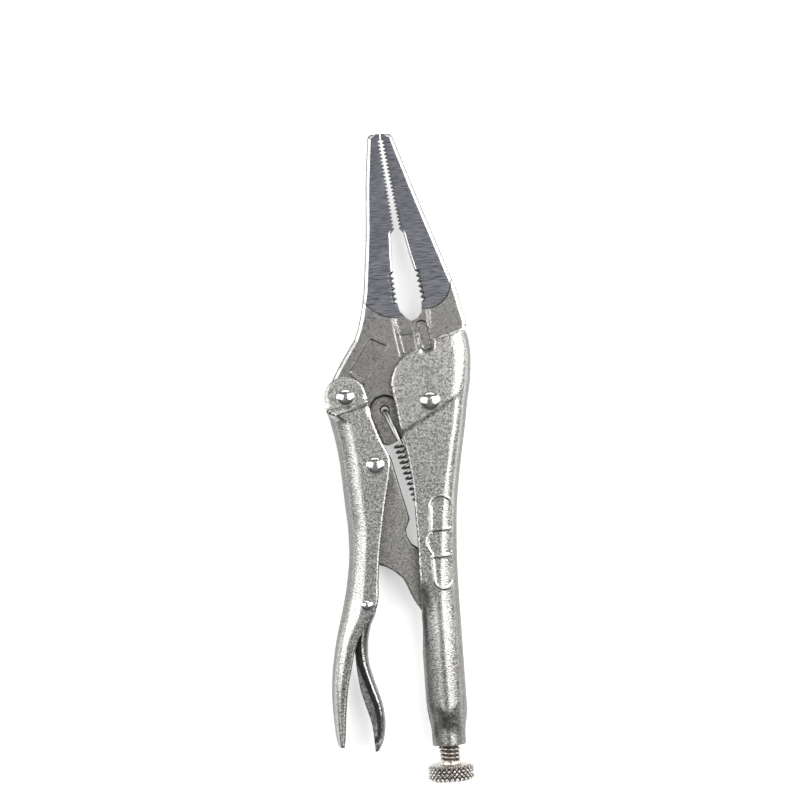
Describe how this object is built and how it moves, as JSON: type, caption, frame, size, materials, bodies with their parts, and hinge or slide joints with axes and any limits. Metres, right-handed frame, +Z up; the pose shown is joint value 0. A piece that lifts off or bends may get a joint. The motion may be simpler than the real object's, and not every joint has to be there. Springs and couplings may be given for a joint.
{
  "type": "locking pliers",
  "caption": "Long nose locking pliers with serrated jaws, a pipe grip, a wire cutter, a toggle linkage, a release lever and a knurled adjusting screw.",
  "frame": {"origin": "under the middle of the tool, which lies flat: middle of its bounding box, at the lowest point", "axes": "+Y along the adjusting screw towards the jaw tips, +X from the lower handle towards the fixed handle, +Z up, along every rivet"},
  "size_m": [0.057, 0.227, 0.0176],
  "materials": {
    "plated_sheet": "nickel plated, fine sandy satin texture",
    "forged_jaw": "nickel plated forging, cheeks ground with fine cross scratches",
    "rivet_steel": "polished domed heads",
    "spring_wire": "plated spring wire",
    "screw_steel": "nickel plated, machined"
  },
  "bodies": {
    "handle": {"fixed_handle": "plated_sheet", "fixed_jaw": "forged_jaw", "main_pivot_rivet": "rivet_steel", "spring_anchor_tab": "plated_sheet", "opening_spring": "spring_wire"},
    "movable_jaw": {"movable_jaw": "forged_jaw", "jaw_handle_rivet": "rivet_steel"},
    "lower_handle": {"lower_handle": "plated_sheet", "link_rivet": "rivet_steel", "lever_rivet": "rivet_steel"},
    "toggle_link": {"toggle_link": "plated_sheet"},
    "release_lever": {"release_lever": "plated_sheet"},
    "screw": {"adjusting_screw": "screw_steel"},
    "knob": {"screw_knob": "screw_steel"}
  },
  "joints": [
    {"name": "jaw_open", "type": "hinge", "parent": "handle", "child": "movable_jaw", "pos_m": [0.01305, 0.0192, 0.0088], "axis": [0, 0, 1], "range_deg": [0, 24], "deforming": ["opening_spring"]},
    {"name": "handle_swing", "type": "hinge", "parent": "movable_jaw", "child": "lower_handle", "pos_m": [-0.01625, 0.0225, 0.0088], "axis": [0, 0, 1], "range_deg": [-71, 0]},
    {"name": "link_swing", "type": "hinge", "parent": "lower_handle", "child": "toggle_link", "pos_m": [-0.00755, -0.0018, 0.0088], "axis": [0, 0, 1], "range_deg": [0, 68.75]},
    {"name": "lever_press", "type": "hinge", "parent": "lower_handle", "child": "release_lever", "pos_m": [-0.01395, -0.0501, 0.0088], "axis": [0, 0, 1], "range_deg": [-8, 0]},
    {"name": "screw_travel", "type": "slide", "parent": "handle", "child": "screw", "axis": [0, -1, 0], "range_m": [0, 0.01]},
    {"name": "knob_turn", "type": "hinge", "parent": "screw", "child": "knob", "pos_m": [0.01135, -0.1108, 0.0088], "axis": [0, -1, 0], "range_deg": [0, 2554.2]}
  ],
  "couplings": [
    {"joint": "handle_swing", "follows": "jaw_open", "ratio": -2.9375},
    {"joint": "link_swing", "follows": "jaw_open", "ratio": 2.8437},
    {"joint": "knob_turn", "follows": "screw_travel", "rad_per_m": 4456.2}
  ]
}
